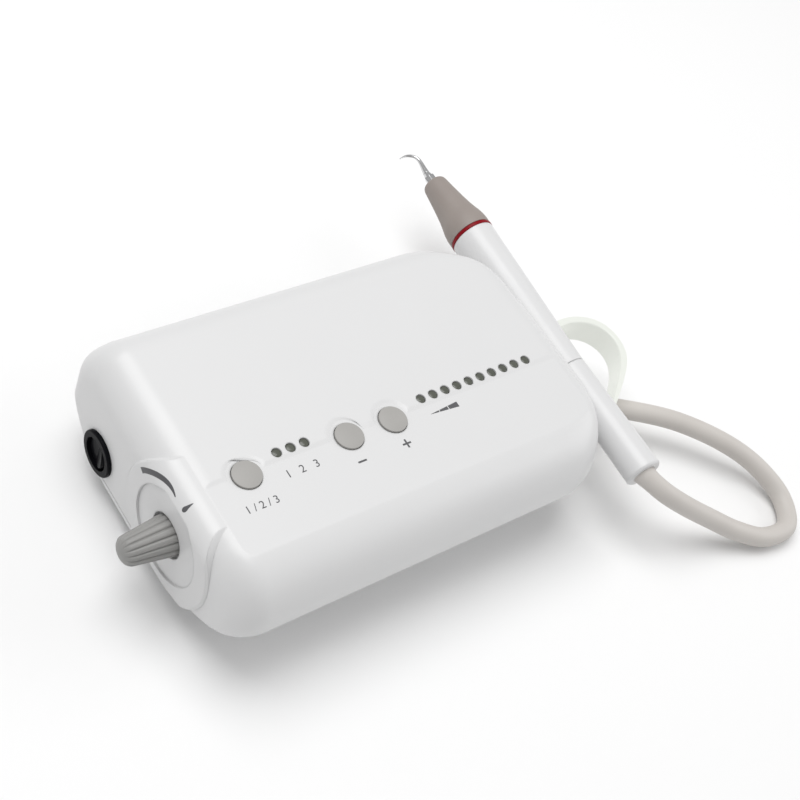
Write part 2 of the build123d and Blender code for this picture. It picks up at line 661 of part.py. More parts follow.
def make_rear_sockets():
    y, z = REAR_PANEL_Y, REAR_PANEL_Z
    sockets = [("pedal_socket", PEDAL_X, PEDAL_BORE_R), ("power_socket", POWER_X, POWER_BORE_R)]
    for name, x, bore in sockets:
        socket = cyl_y(x, y - 12.0, y, z, SOCKET_R) + cyl_y(x, y, y + 1.6, z, SOCKET_R + 1.8)
        socket -= cyl_y(x, y - BORE_DEPTH, y + 2.0, z, bore)
        socket -= cyl_y(x, y - PIN_WELL_DEPTH, y, z, bore - 0.8)
        node(name, socket)
    pins = []
    for i in range(4):
        turn = math.radians(45.0 + 90.0 * i)
        dx, dz = 2.4 * math.cos(turn), 2.4 * math.sin(turn)
        pins.append(cyl_y(PEDAL_X + dx, y - PIN_WELL_DEPTH, y - BORE_DEPTH - 0.3, z + dz, 0.5))
    pins.append(cyl_y(POWER_X, y - PIN_WELL_DEPTH, y - BORE_DEPTH - 0.3, z, 1.0))
    node("socket_pins", Compound(children=pins))


# ---------------------------------------------------------------- main board
def make_main_board():
    top = MAIN_BOARD_Z + BOARD_T
    board = block(-34.0, 56.0, -21.5, 33.0, MAIN_BOARD_Z, top)
    for x, y in BOARD_STANDOFFS:
        board -= cyl_z(x, y, MAIN_BOARD_Z - 1, top + 1, 1.4)
    node("main_board", board)
    cx, cy = 30.0, 12.0
    core = block(cx - 18, cx + 18, cy - 8, cy + 8, top, top + 30)
    for side in (-1, 1):
        window_x = cx + side * 9.5
        core -= block(window_x - 4, window_x + 4, cy - 9, cy + 9, top + 6, top + 24)
    node("transformer_core", core)
    winding = block(cx - 13.3, cx + 13.3, cy - 14, cy + 14, top + 6.5, top + 23.5)
    winding = fillet(winding.edges().filter_by(Axis.Z), 4.0)
    winding &= block(cx - 13.3, cx + 13.3, cy - 20, cy + 20, 0, 100)
    winding -= block(cx - 5.6, cx + 5.6, cy - 8.1, cy + 8.1, top, top + 30)
    node("transformer_coil", winding)
    sink = block(-28.0, -4.0, 27.0, 31.0, top, top + 24)
    for i in range(6):
        fin_x = -28.0 + i * 4.6
        sink += block(fin_x, fin_x + 1.0, 18.0, 27.0, top, top + 24)
    node("heat_sink", sink)
    cans = []
    for x, y, r, h in ((-6.0, -10.0, 5.0, 20.0), (-20.0, -8.0, 6.3, 24.0), (2.0, 22.0, 5.0, 18.0)):
        can = cyl_z(x, y, top, top + h, r)
        cans.append(fillet(can.edges().group_by(Axis.Z)[-1], 0.8))
    node("capacitors", Compound(children=cans))
    headers = []
    for z0 in (CONTROL_BOARD_Z - 4.0, top):
        headers.append(block(RIBBON_X - 8.0, RIBBON_X + 8.0, -21.5, -17.5, z0, z0 + 4.0))
    node("ribbon_headers", Compound(children=headers))
    x0, x1 = RIBBON_X - 6.5, RIBBON_X + 6.5
    back, front, thick = -21.6, -26.0, 0.8
    low, high = top + 2.0, CONTROL_BOARD_Z - 2.0
    ribbon = block(x0, x1, front, back, low, low + thick)
    ribbon += block(x0, x1, front, front + thick, low, high)
    ribbon += block(x0, x1, front, back, high - thick, high)
    node("ribbon_cable", ribbon)


# ---------------------------------------------------------------- holder and cable
def handpiece_radius(y):
    """The handpiece's outside radius at a distance along +Y."""
    if y < SLEEVE_REAR_Y:
        share = (y - CONNECTOR_REAR_Y) / (SLEEVE_REAR_Y - CONNECTOR_REAR_Y)
        return CONNECTOR_REAR_R + (SLEEVE_REAR_R - CONNECTOR_REAR_R) * share
    share = (y - SLEEVE_REAR_Y) / (CONE_REAR_Y - SLEEVE_REAR_Y)
    return SLEEVE_REAR_R + (CONE_R - SLEEVE_REAR_R) * share


def pipe_y(y0, y1, outer, inner):
    """A plain ring about the handpiece's axis, before its yaw."""
    return cyl_y(HP_X, y0, y1, HP_Z, outer) - cyl_y(HP_X, y0 - 1, y1 + 1, HP_Z, inner)


def contact_places():
    """Where the four contacts stand round the handpiece's axis, as (x, z)."""
    places = []
    for i in range(4):
        turn = math.radians(90.0 * i)
        dx, dz = CONTACT_CIRCLE_R * math.cos(turn), CONTACT_CIRCLE_R * math.sin(turn)
        places.append((HP_X + dx, HP_Z + dz))
    return places


def in_holder(shape):
    """Turn a shape built parallel to Y into the handpiece's slight yaw in its holder."""
    to_pivot = Pos(HP_X, HP_PIVOT_Y, HP_Z)
    return to_pivot * Rot(0, 0, -HP_YAW) * to_pivot.inverse() * shape


def make_holder():
    """A soft hook: a band that bends round from a mounting pad, open on top for the handpiece."""
    outside = Spline([(x, y, HOOK_BOTTOM) for x, y in HOOK_OUTER])
    inside = Spline([(x, y, HOOK_BOTTOM) for x, y in reversed(HOOK_INNER)])
    ends = [Line(outside @ 1, inside @ 0), Line(inside @ 1, outside @ 0)]
    plan = make_face(Wire([outside, ends[0], inside, ends[1]]))
    hook = extrude(plan, HOOK_TOP - HOOK_BOTTOM, dir=(0, 0, 1))
    hook = fillet(hook.edges().filter_by(Axis.Z), HOOK_EDGE_R)
    rims = hook.edges().group_by(Axis.Z)
    hook = fillet(rims[0] + rims[-1], HOOK_EDGE_R)
    hook += block(PLATE_FACE_X, HOOK_INNER[0][0], *HOOK_PAD_Y, *HOOK_PAD_Z)
    y0, y1 = -40.0, 30.0
    rear, front = handpiece_radius(y0) + HOLDER_CLEAR, handpiece_radius(y1) + HOLDER_CLEAR
    channel = turned_y([(y0, 0), (y0, rear), (y1, front), (y1, 0)])
    plan = Polyline(
        (HP_X - rear, y0, HP_Z),
        (HP_X + rear, y0, HP_Z),
        (HP_X + front, y1, HP_Z),
        (HP_X - front, y1, HP_Z),
        close=True,
    )
    channel += extrude(make_face(plan), 30.0, dir=(0, 0, 1))
    hook -= in_holder(channel)
    screw_x, screw_y, screw_z = HOLDER_SCREW_TIP_X, HOLDER_SCREW_Y, HOLDER_SCREW_Z
    hook -= cyl_x(PLATE_FACE_X - 1, screw_x + 0.4, screw_y, screw_z, SCREW_R + TOUCH)
    node("handpiece_holder", hook)
    wall_x = PLATE_ROOT_X
    screw = cyl_x(wall_x, screw_x, screw_y, screw_z, SCREW_R)
    screw += cyl_x(wall_x - 2.2, wall_x, screw_y, screw_z, SCREW_R * 2)
    node("holder_screw", screw)


def make_cable():
    """A silicone cable in one compact bend, standing in for its two metre length."""
    exit_x, exit_y, exit_z = CABLE_EXIT
    mouth = exit_x + 1.5
    grommet = cyl_x(exit_x - 7.0, exit_x, exit_y, exit_z, GROMMET_R)
    grommet += cyl_x(exit_x, mouth, exit_y, exit_z, GROMMET_R + 0.8)
    grommet -= cyl_x(exit_x - 10.0, exit_x + 3.0, exit_y, exit_z, CABLE_R + 0.3)
    node("cable_grommet", grommet)
    yaw = math.radians(HP_YAW)
    reach = CONNECTOR_REAR_Y - 0.4 - HP_PIVOT_Y
    end = (HP_X + reach * math.sin(yaw), HP_PIVOT_Y + reach * math.cos(yaw), HP_Z)
    points = [
        (exit_x - 7.0, exit_y, exit_z),
        (exit_x - 3.0, exit_y, exit_z),
        (mouth, exit_y, exit_z),
        (exit_x + 12.0, exit_y - 1.0, 16.4),
        (121.0, -23.0, 16.0),
        (136.0, -30.5, 16.0),
        (155.5, -44.4, 16.0),
        (172.0, -61.5, 14.5),
        (184.0, -77.0, 10.0),
        (189.0, -94.0, 5.4),
        (181.0, -107.0, 4.6),
        (165.0, -107.0, 5.6),
        (150.0, -99.5, 9.5),
        (136.0, -91.1, 16.0),
        (122.0, -84.0, 24.0),
        (110.5, -76.5, 31.0),
        end,
    ]
    arrival = (math.sin(yaw), math.cos(yaw), 0)
    node("handpiece_cable", tube(points, CABLE_R, 0.0, (1, 0, 0), arrival))


# ---------------------------------------------------------------- handpiece
def make_connector():
    """Rear half of the handpiece: stays on the cable when the sleeve is pulled off."""
    y0, y1 = CONNECTOR_REAR_Y, SLEEVE_REAR_Y - 0.15
    r0, r1 = handpiece_radius(y0), handpiece_radius(y1)
    plug_y = y1 + 12.3
    outline = [(y0, 0), (y0, r0 - 0.8), (y0 + 0.8, r0), (y1, r1)]
    outline += [(y1, PLUG_R), (plug_y, PLUG_R), (plug_y, 0)]
    body = turned_y(outline)
    body -= cyl_y(HP_X, y0 - 1, y0 + 14.0, HP_Z, CABLE_R + 0.5)
    body -= cyl_y(HP_X, y0 + 13.0, y0 + 38.0, HP_Z, 4.0)
    groove_y = y1 + 7.0
    body -= pipe_y(groove_y - 1.0, groove_y + 1.0, PLUG_R + 1, PLUG_R - 1.3)
    for x, z in contact_places():
        body -= cyl_y(x, y1 - 2, y1 + 13, z, CONTACT_R)
    node("connector_body", in_holder(body))
    pins = []
    for x, z in contact_places():
        pins.append(in_holder(cyl_y(x, y1 - 2, y1 + 15.0, z, CONTACT_R)))
    node("contact_pins", Compound(children=pins))
    minor = 0.65
    seal = ring_y(HP_X, groove_y, HP_Z, PLUG_R - 1.28 + minor, minor)
    node("connector_seal", in_holder(seal))
    node("cable_clamp", in_holder(pipe_y(y0 + 16.0, y0 + 24.0, 3.95, 2.6)))


def make_sleeve():
    """White front half, a hollow sleeve with a spigot for the nose cone."""
    y0, y1 = SLEEVE_REAR_Y, CONE_REAR_Y - MARKER_W
    r0, r1 = handpiece_radius(y0), handpiece_radius(y1)
    spigot = CONE_REAR_Y + 6.0
    body = turned_y([(y0, 0), (y0, r0), (y1, r1), (y1, SPIGOT_R), (spigot, SPIGOT_R), (spigot, 0)])
    body -= cyl_y(HP_X, y0 - 1, y0 + 14.0, HP_Z, PLUG_R + SLIP)
    body -= cyl_y(HP_X, y0 + 18.0, spigot + 1, HP_Z, CORE_R)
    for x, z in contact_places():
        body -= cyl_y(x, y0 + 13, y0 + 19, z, CONTACT_R + 0.06)
    node("handpiece_sleeve", in_holder(body))
    ring = cyl_y(HP_X, y1, CONE_REAR_Y, HP_Z, CONE_R + 0.15)
    ring = fillet(ring.edges(), 0.5)
    ring -= cyl_y(HP_X, y1 - 1, CONE_REAR_Y + 1, HP_Z, SPIGOT_R + TOUCH)
    node("marker_ring", in_holder(ring))


def make_nose_cone():
    """Grey screw-on nose, flared towards the marker ring and rounded at its mouth."""
    y0, y1 = CONE_REAR_Y + 0.05, TIP_BASE_Y
    x, z = HP_X, HP_Z
    stations = [(0.0, CONE_R), (3.5, 10.25), (7.0, 9.75), (10.0, 9.0), (13.0, 8.3), (17.0, 7.6)]
    stations += [(22.0, 6.85), (y1 - 3.0 - y0, CONE_MOUTH_R + 0.35)]
    flare = Spline([(x + r, y0 + dy, z) for dy, r in stations])
    mouth = (x + 3.4, y1, z)
    lip_controls = [(x + CONE_MOUTH_R + 0.15, y1 - 1.2, z), (x + CONE_MOUTH_R - 0.2, y1, z)]
    lip = Bezier(flare @ 1, *lip_controls, mouth)
    centre = Polyline(mouth, (x, y1, z), (x, y0, z), (x + CONE_R, y0, z))
    cone = revolve(make_face(Wire([flare, lip] + centre.edges())), Axis((x, 0, z), (0, 1, 0)))
    bore = [(y0 - 1, 0), (y0 - 1, SPIGOT_R + SLIP), (y0 + 7.0, SPIGOT_R + SLIP)]
    bore += [(y1 - 12.0, 4.4), (y1 - 2.0, 4.4), (y1 - 2.0, 3.1), (y1 + 1, 3.1), (y1 + 1, 0)]
    node("nose_cone", in_holder(cone - turned_y(bore)))


def make_transducer():
    """Bolt-clamped piezo stack: horn, discs with electrodes, back mass, bolt and seals."""
    stack = 40.0
    horn_y = stack + 4 * 2.6
    horn = turned_y(
        [
            (horn_y, 0),
            (horn_y, 6.2),
            (horn_y + 8.0, 6.2),
            (horn_y + 20.0, 3.0),
            (TIP_BASE_Y - 5.0, 2.5),
            (TIP_BASE_Y - 5.0, 0),
        ]
    )
    horn -= cyl_y(HP_X, horn_y - 1, horn_y + 6.0, HP_Z, 1.9)
    horn -= cyl_y(HP_X, TIP_BASE_Y - 13.0, TIP_BASE_Y - 4.0, HP_Z, 1.25)
    node("ultrasonic_horn", in_holder(horn))
    discs, plates = [], []
    for i in range(4):
        y = stack + 2.6 * i
        discs.append(in_holder(pipe_y(y, y + 2.3, 6.0, 2.6)))
        plates.append(in_holder(pipe_y(y + 2.3, y + 2.6, 6.2, 2.6)))
    node("piezo_discs", Compound(children=discs))
    node("electrodes", Compound(children=plates))
    mass = pipe_y(stack - 14.0, stack, 6.0, 1.95)
    mass -= cyl_y(HP_X, stack - 15.0, stack - 11.0, HP_Z, 3.4)
    node("back_mass", in_holder(mass))
    bolt = cyl_y(HP_X, stack - 11.0, horn_y + 5.8, HP_Z, 1.88)
    bolt += cyl_y(HP_X, stack - 13.8, stack - 11.0, HP_Z, 3.3)
    node("clamp_bolt", in_holder(bolt))
    seals = []
    for y in (stack - 7.0, horn_y + 4.0):
        inner = 6.0 if y < stack else 6.2
        tube_r = (CORE_R - inner) / 2
        seals.append(in_holder(ring_y(HP_X, y, HP_Z, inner + tube_r, tube_r - 0.01)))
    node("handpiece_seals", Compound(children=seals))
    guide = pipe_y(TIP_BASE_Y - 11.0, TIP_BASE_Y - 2.1, 4.4 - SLIP, 3.1)
    node("light_guide", in_holder(guide))


def make_tip():
    """Sickle-shaped steel tip with a driving nut, screwed into the horn."""
    base = TIP_BASE_Y - 5.0
    stud = cyl_y(HP_X, base - 6.0, base, HP_Z, 1.22)
    nut = extrude(RegularPolygon(2.5, 6), 4.4, both=True)
    nut = Pos(HP_X, base + 4.4, HP_Z) * Rot(90, 0, 0) * nut
    neck = turned_y([(base + 8.8, 0), (base + 8.8, 2.0), (base + 11.0, 1.55), (base + 11.0, 0)])
    path = Spline(
        (HP_X, base + 11.0, HP_Z),
        (HP_X + 0.9, base + 17.0, HP_Z),
        (HP_X + 0.4, base + 21.4, HP_Z),
        (HP_X - 3.2, base + 23.3, HP_Z),
        (HP_X - 8.0, base + 22.6, HP_Z),
        tangents=[(0.1, 1, 0), (-1, -0.25, 0)],
    )
    stations = [(0.0, 1.55), (0.35, 1.0), (0.6, 0.75), (0.85, 0.5), (1.0, 0.2)]
    sections = [Plane(path @ t, z_dir=path % t) * Circle(r) for t, r in stations]
    blade = sweep(sections, path, multisection=True)
    node("scaler_tip", in_holder(stud + nut + neck + blade))


# ---------------------------------------------------------------- build
def build():
    outer = body_solid(0.0)
    inner = body_solid(WALL)
    make_top_cover(outer, inner)
    make_base_cover(outer, inner)
    make_feet_and_screws()
    for name, x in BUTTON_X.items():
        make_button(name, x)
    make_control_board()
    knob_tip_x = make_water_knob()
    make_water_valve(knob_tip_x)
    make_solenoid_valve()
    make_water_inlet()
    make_water_tubes()
    make_power_switch()
    make_rocker()
    make_rear_sockets()
    make_main_board()
    make_holder()
    make_cable()
    make_connector()
    make_sleeve()
    make_nose_cone()
    make_transducer()
    make_tip()


build()
os.makedirs("parts", exist_ok=True)
for name, shape in nodes.items():
    export_step(shape, f"parts/{name}.step")
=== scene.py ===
import bpy
import json
import math
from mathutils import Matrix, Vector


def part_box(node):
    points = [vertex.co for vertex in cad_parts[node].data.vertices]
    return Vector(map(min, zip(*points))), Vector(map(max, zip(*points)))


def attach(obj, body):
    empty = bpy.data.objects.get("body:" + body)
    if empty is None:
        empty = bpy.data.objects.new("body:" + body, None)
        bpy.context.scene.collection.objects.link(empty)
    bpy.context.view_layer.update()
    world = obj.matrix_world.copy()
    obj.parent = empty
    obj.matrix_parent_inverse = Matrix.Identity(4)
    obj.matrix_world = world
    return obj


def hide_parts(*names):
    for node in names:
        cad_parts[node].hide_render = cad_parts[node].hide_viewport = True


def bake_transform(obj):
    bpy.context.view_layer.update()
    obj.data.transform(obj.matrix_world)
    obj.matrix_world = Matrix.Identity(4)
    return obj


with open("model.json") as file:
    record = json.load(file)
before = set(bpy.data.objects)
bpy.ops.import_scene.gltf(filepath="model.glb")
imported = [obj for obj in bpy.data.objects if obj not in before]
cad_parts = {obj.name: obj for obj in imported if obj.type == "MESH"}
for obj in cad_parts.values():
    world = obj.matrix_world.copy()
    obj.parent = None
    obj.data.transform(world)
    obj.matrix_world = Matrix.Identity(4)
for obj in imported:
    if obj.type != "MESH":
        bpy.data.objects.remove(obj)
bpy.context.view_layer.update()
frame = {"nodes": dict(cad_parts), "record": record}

# ---------------------------------------------------------------- driving values, in metres
MM = 0.001
PANEL_Z = 57.5 * MM          # front half of the top, below the step
PRINT_LIFT = 0.04 * MM       # how far printed marks stand on the plastic

VIEW_AZIMUTH = -56.9
VIEW_ELEVATION = 49.13
VIEW_ROLL = 28.9
VIEW_DISTANCE = 0.552
VIEW_TARGET = Vector((0.0105, -0.0044, 0.0525))
LENS_MM = 64.65

KNOB_CENTRE = Vector((0.0, -13.5, 34.0)) * MM
KNOB_BASE_X = -91.4 * MM
KNOB_LENGTH = 20.5 * MM
KNOB_BASE_R = 8.25 * MM
KNOB_TIP_R = 5.35 * MM
KNOB_FLUTES = 15
KNOB_BORE_R = 2.55 * MM
KNOB_BORE_DEPTH = 16.0 * MM
KNOB_NOSE = 3.6 * MM         # length of the rounded nose
KNOB_RIM = 0.7 * MM          # length over which the flutes start
FLUTE_DEPTH = 0.95 * MM

# Printed marks, in plain millimetres and degrees.
FLOW_START = 29.0
FLOW_END = 80.0
FLOW_INNER = (23.4, 20.1)
FLOW_OUTER = (25.7, 20.45)
FLOW_BEND = 1.8
DROP_Y = -15.8
DROP_Z = 54.4
DROP_R = 0.95
SIGN_REACH = 1.9             # half the length of a plus or minus stroke
SIGN_HALF_W = 0.38           # half the width of that stroke
MINUS_AT = (-22.6, -24.6)
PLUS_AT = (-1.9, -24.5)
WEDGE_Y = -16.9
WEDGE_BLOCKS = ((15.0, 19.0), (19.4, 23.4), (23.8, 28.4))
WEDGE_TIP = 0.05
WEDGE_SLOPE = 0.085
LABELS = (
    ("mark_mode_1", "1", -51.6, -18.9, 4.6),
    ("mark_mode_2", "2", -45.6, -18.9, 4.6),
    ("mark_mode_3", "3", -39.4, -18.9, 4.6),
    ("mark_modes", "1 / 2 / 3", -67.0, -26.2, 4.4),
)

LAMP_Y = -9.5 * MM
LAMP_R = 1.9 * MM
LAMP_FLANGE_R = 2.5 * MM
LAMP_STEM = 2.5 * MM
LAMP_DOME = 0.6 * MM
LAMP_PITCH = 6.0 * MM
POWER_LAMP_X = 15.0 * MM
POWER_LAMPS = 10
MODE_LAMP_X = -51.25 * MM
MODE_LAMPS = 3

CABLE_R = 4.4 * MM
CABLE_PATH = [               # in plain millimetres, from the unit round to the connector
    (86.0, -19.0, 17.6), (90.0, -19.0, 17.6), (94.5, -19.0, 17.6), (105.0, -20.0, 16.4),
    (121.0, -23.0, 16.0), (136.0, -30.5, 16.0), (155.5, -44.4, 16.0), (172.0, -61.5, 14.5),
    (184.0, -77.0, 10.0), (189.0, -94.0, 5.4), (181.0, -107.0, 4.6), (165.0, -107.0, 5.6),
    (150.0, -99.5, 9.5), (136.0, -91.1, 16.0), (122.0, -84.0, 24.0), (110.5, -76.5, 31.0),
    (104.85, -66.87, 34.0), (105.0, -61.5, 34.0),
]
CABLE_END_R = 4.82 * MM      # where it fills the connector's mouth
CABLE_MOUTH_Y = -70.5 * MM
CABLE_SWELL = 3.5 * MM       # length over which it widens to that

FLOOR_HALF = 4.0
LIGHT_TARGET = (0.0, 0.0, 0.03)
OVERHEAD_LIGHT = {"place": (-0.15, 0.35, 1.3), "size": 1.0, "energy": 13.0}
FRONT_LIGHT = {"place": (1.1, -0.5, 0.6), "size": 0.8, "energy": 3.6}
WORLD_STRENGTH = 0.5


# ---------------------------------------------------------------- materials
def linked(tree, kind, **values):
    """Add one shader node and set its plain values."""
    made = tree.nodes.new(kind)
    for name, value in values.items():
        setattr(made, name, value)
    return made


def finish(name, colour, other, rough, rough_spread=0.05, mottle=120.0, grain=1500.0, bump=0.05,
           depth=0.00002, metallic=0.0, edge=0.0003, **principled):
    """A procedural material: mottled colour, uneven roughness, fine grain and softened edges.

    Extra names are inputs of the shader, with underscores for spaces.
    """
    mat = bpy.data.materials.new(name)
    mat.use_nodes = True
    tree = mat.node_tree
    shader = tree.nodes["Principled BSDF"]
    place = linked(tree, "ShaderNodeTexCoord").outputs["Object"]

    patches = linked(tree, "ShaderNodeTexNoise")
    patches.inputs["Scale"].default_value = mottle
    patches.inputs["Detail"].default_value = 3.0
    tree.links.new(place, patches.inputs["Vector"])
    blend = linked(tree, "ShaderNodeMix", data_type="RGBA")
    blend.inputs["A"].default_value = (*colour, 1.0)
    blend.inputs["B"].default_value = (*other, 1.0)
    tree.links.new(patches.outputs["Fac"], blend.inputs["Factor"])
    tree.links.new(blend.outputs["Result"], shader.inputs["Base Color"])

    spread = linked(tree, "ShaderNodeMapRange")
    spread.inputs["To Min"].default_value = rough - rough_spread
    spread.inputs["To Max"].default_value = rough + rough_spread
    tree.links.new(patches.outputs["Fac"], spread.inputs["Value"])
    tree.links.new(spread.outputs["Result"], shader.inputs["Roughness"])

    fine = linked(tree, "ShaderNodeTexNoise")
    fine.inputs["Scale"].default_value = grain
    fine.inputs["Detail"].default_value = 2.0
    tree.links.new(place, fine.inputs["Vector"])
    soft = linked(tree, "ShaderNodeBevel", samples=4)
    soft.inputs["Radius"].default_value = edge
    relief = linked(tree, "ShaderNodeBump")
    relief.inputs["Strength"].default_value = bump
    relief.inputs["Distance"].default_value = depth
    tree.links.new(fine.outputs["Fac"], relief.inputs["Height"])
    tree.links.new(soft.outputs["Normal"], relief.inputs["Normal"])
    tree.links.new(relief.outputs["Normal"], shader.inputs["Normal"])

    shader.inputs["Metallic"].default_value = metallic
    for socket, value in principled.items():
        shader.inputs[socket.replace("_", " ")].default_value = value
    return mat


def make_materials():
    """One finish for each material slot of the record, and one for printed marks."""
    made = {}
    made["white_case"] = finish(
        "white_case", (0.685, 0.685, 0.687), (0.665, 0.665, 0.667), 0.36, mottle=40.0,
        grain=2600.0, bump=0.04, edge=0.001, Coat_Weight=0.1, Coat_Roughness=0.2)
    made["grey_button"] = finish(
        "grey_button", (0.345, 0.337, 0.322), (0.375, 0.366, 0.35), 0.5, grain=2200.0, bump=0.18)
    made["grey_knob"] = finish(
        "grey_knob", (0.27, 0.267, 0.26), (0.305, 0.302, 0.292), 0.5, grain=2000.0, bump=0.2)
    made["grey_nose"] = finish(
        "grey_nose", (0.275, 0.238, 0.218), (0.305, 0.268, 0.245), 0.55, grain=2000.0, bump=0.2)
    made["red_ring"] = finish(
        "red_ring", (0.24, 0.003, 0.008), (0.2, 0.002, 0.007), 0.35, grain=3000.0, bump=0.1,
        Specular_IOR_Level=0.15)
    made["black_switch"] = finish(
        "black_switch", (0.004, 0.004, 0.005), (0.006, 0.006, 0.008), 0.3, grain=2400.0, bump=0.08,
        Specular_IOR_Level=0.04)
    made["smoked_lens"] = finish(
        "smoked_lens", (0.07, 0.075, 0.06), (0.095, 0.1, 0.08), 0.3, grain=3000.0, bump=0.02,
        Coat_Weight=0.15)
    # The hook's emission is painted light: a glow that brightens its shaded inner face in place of light
    # passing through the silicone.
    made["soft_hook"] = finish(
        "soft_hook", (0.35, 0.36, 0.337), (0.33, 0.34, 0.317), 0.42, grain=1600.0, bump=0.08,
        Emission_Color=(0.96, 0.98, 0.92, 1.0), Emission_Strength=0.48)
    made["silicone_cable"] = finish(
        "silicone_cable", (0.58, 0.55, 0.52), (0.54, 0.51, 0.48), 0.5, mottle=70.0,
        grain=1200.0, bump=0.12)
    made["black_rubber"] = finish(
        "black_rubber", (0.02, 0.02, 0.02), (0.035, 0.035, 0.035), 0.7, grain=900.0, bump=0.3)
    made["steel"] = finish(
        "steel", (0.60, 0.60, 0.60), (0.68, 0.68, 0.69), 0.2, mottle=500.0, grain=4000.0,
        bump=0.05, metallic=1.0)
    made["brass"] = finish(
        "brass", (0.72, 0.53, 0.25), (0.64, 0.46, 0.2), 0.3, grain=2600.0, bump=0.08, metallic=1.0)
    made["circuit_board"] = finish(
        "circuit_board", (0.01, 0.16, 0.06), (0.015, 0.2, 0.08), 0.35, mottle=300.0)
    made["dark_plastic"] = finish(
        "dark_plastic", (0.025, 0.025, 0.028), (0.045, 0.045, 0.048), 0.5, grain=1800.0, bump=0.2)
    made["copper_winding"] = finish(
        "copper_winding", (0.60, 0.24, 0.10), (0.68, 0.3, 0.13), 0.35, mottle=900.0, metallic=1.0)
    made["aluminium"] = finish(
        "aluminium", (0.62, 0.62, 0.64), (0.7, 0.7, 0.72), 0.38, grain=2400.0, metallic=1.0)
    made["natural_plastic"] = finish(
        "natural_plastic", (0.72, 0.72, 0.68), (0.66, 0.66, 0.62), 0.45, grain=1500.0, bump=0.1)
    made["clear_lens"] = finish(
        "clear_lens", (0.88, 0.9, 0.93), (0.82, 0.85, 0.9), 0.12, Transmission_Weight=0.6)
    made["piezo_ceramic"] = finish(
        "piezo_ceramic", (0.50, 0.45, 0.37), (0.57, 0.52, 0.44), 0.6, grain=900.0, bump=0.2)
    made["print_grey"] = finish(
        "print_grey", (0.075, 0.075, 0.08), (0.1, 0.1, 0.105), 0.5, edge=0.00002)
    return made


MATERIALS = make_materials()


def dress_cad_nodes():
    """Give every CAD node the finish of its record slot."""
    for part in frame["record"]["subparts"]:
        shown = frame["nodes"][part["node"]]
        shown.data.materials.clear()
        shown.data.materials.append(MATERIALS[part["material_slot"]])
        for face in shown.data.polygons:
            face.use_smooth = True


# ---------------------------------------------------------------- mesh helpers
def mesh_piece(name, verts, faces, finish_name, body=None, smooth=True):
    """A mesh object in its finish, riding a body where one is given."""
    data = bpy.data.meshes.new(name)
    data.from_pydata([tuple(v) for v in verts], [], faces)
    data.validate()
    data.update()
    for face in data.polygons:
        face.use_smooth = smooth
    data.materials.append(MATERIALS[finish_name])
    piece = bpy.data.objects.new(name, data)
    bpy.context.collection.objects.link(piece)
    if body:
        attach(piece, body)
    return piece


def grid_faces(rows, columns):
    """Quads between consecutive closed rings of points."""
    faces = []
    for i in range(rows - 1):
        for j in range(columns):
            k = (j + 1) % columns
            low, high = i * columns, (i + 1) * columns
            faces.append((low + j, low + k, high + k, high + j))
    return faces


def smooth_path(points, per_span):
    """Points along a centripetal curve through the given points."""
    knots = [Vector(p) * MM for p in points]
    knots = [knots[0] * 2 - knots[1]] + knots + [knots[-1] * 2 - knots[-2]]
    out = []
    for i in range(1, len(knots) - 2):
        p0, p1, p2, p3 = knots[i - 1: i + 3]
        for j in range(per_span):
            t = j / per_span
            out.append(0.5 * (2 * p1 + (p2 - p0) * t + (2 * p0 - 5 * p1 + 4 * p2 - p3) * t**2
                              + (3 * p1 - p0 - 3 * p2 + p3) * t**3))
    out.append(knots[-2])
    return out


def tube_rings(path, radii, sides):
    """Rings of points round a path, carried along it without twisting."""
    verts = []
    across = Vector((0, 0, 1))
    for i, centre in enumerate(path):
        ahead = path[min(i + 1, len(path) - 1)] - path[max(i - 1, 0)]
        ahead.normalize()
        across = (across - ahead * across.dot(ahead)).normalized()
        side = ahead.cross(across)
        for j in range(sides):
            turn = 2 * math.pi * j / sides
            verts.append(centre + (across * math.cos(turn) + side * math.sin(turn)) * radii[i])
    return verts


# ---------------------------------------------------------------- refined pieces
def about_knob(along, radius, turn):
    """A point round the knob's axis, at a distance out from its base."""
    y, z = KNOB_CENTRE.y + radius * math.cos(turn), KNOB_CENTRE.z + radius * math.sin(turn)
    return (KNOB_BASE_X - along, y, z)


def make_knob():
    """The fluted water knob, with rounded ribs that run out over its nose."""
    sides, rings = KNOB_FLUTES * 16, 60
    taper = (KNOB_BASE_R - KNOB_TIP_R) / KNOB_LENGTH
    stations = []
    for i in range(rings):
        along = KNOB_LENGTH * i / (rings - 1)
        radius = KNOB_BASE_R - taper * along
        past = max(0.0, along - (KNOB_LENGTH - KNOB_NOSE)) / KNOB_NOSE
        stations.append((along, radius * math.sqrt(max(0.0, 1 - past**2.6)), past))
    verts = []
    for along, radius, past in stations:
        rim = min(1.0, along / KNOB_RIM)
        fade = max(0.0, 1 - (past / 0.96) ** 3) * rim
        for j in range(sides):
            turn = 2 * math.pi * j / sides
            wave = abs(math.sin(turn * KNOB_FLUTES / 2))
            groove = (1 - wave) ** 2.2
            depth = FLUTE_DEPTH * groove * fade * (radius / KNOB_BASE_R)
            r = max(radius - depth - 0.25 * MM * (1 - rim), 0.05 * MM)
            verts.append(about_knob(along, r, turn))
    faces = grid_faces(rings, sides)
    faces.append(tuple(range((rings - 1) * sides, rings * sides)))
    inner_start = len(verts)
    for along in (0.0, KNOB_BORE_DEPTH):
        for j in range(sides):
            turn = 2 * math.pi * j / sides
            verts.append(about_knob(along, KNOB_BORE_R, turn))
    for j in range(sides):
        k = (j + 1) % sides
        faces.append((j, inner_start + j, inner_start + k, k))
        faces.append((inner_start + j, inner_start + sides + j, inner_start + sides + k, inner_start + k))
    faces.append(tuple(inner_start + sides + j for j in range(sides)))
    knob = mesh_piece("knob_soft", verts, faces, "grey_knob", "water_knob")
    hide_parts("water_knob")


